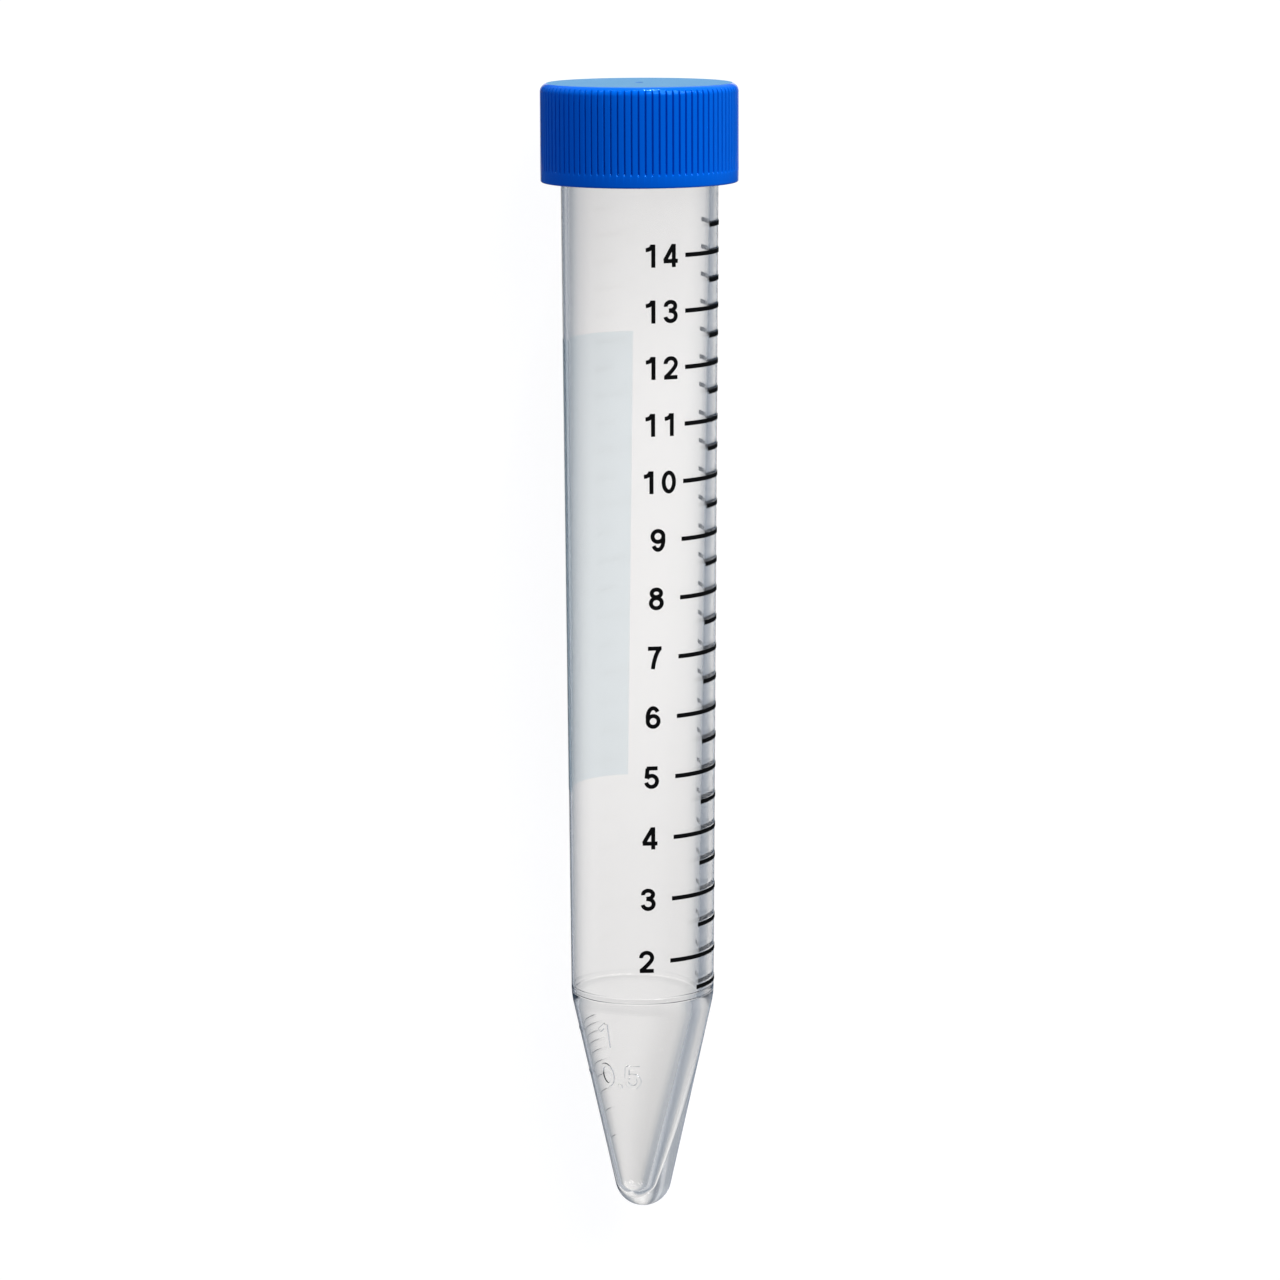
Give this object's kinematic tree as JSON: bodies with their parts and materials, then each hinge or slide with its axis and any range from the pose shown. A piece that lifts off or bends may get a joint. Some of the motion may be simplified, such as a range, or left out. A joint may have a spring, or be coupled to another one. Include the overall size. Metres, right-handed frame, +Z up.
{
  "type": "15 ml conical centrifuge tube",
  "caption": "Graduated plastic tube with a conical bottom, closed by a finely ribbed screw cap, lying on its side.",
  "frame": {"origin": "on the bench, under the middle of the closed tube's box, with the tube lying at rest", "axes": "+Z up, +Y along the tube towards the cap; the tube's own axis rises 1.78 degrees from +Y, and its scale faces +Z"},
  "size_m": [0.0208, 0.1218, 0.0211],
  "materials": {
    "tube_plastic": "clear moulded polypropylene, slightly hazy",
    "cap_plastic": "moulded blue, satin sides and matte top",
    "scale_ink": "matte black printing ink",
    "patch_ink": "matte white writing patch"
  },
  "bodies": {
    "tube": {"tube": "tube_plastic"},
    "cap": {"screw_cap": "cap_plastic"}
  },
  "joints": [
    {"name": "cap_lift", "type": "slide", "parent": "tube", "child": "cap", "axis": [0, 0.9995, 0.0311], "range_m": [0, 0.03]}
  ]
}
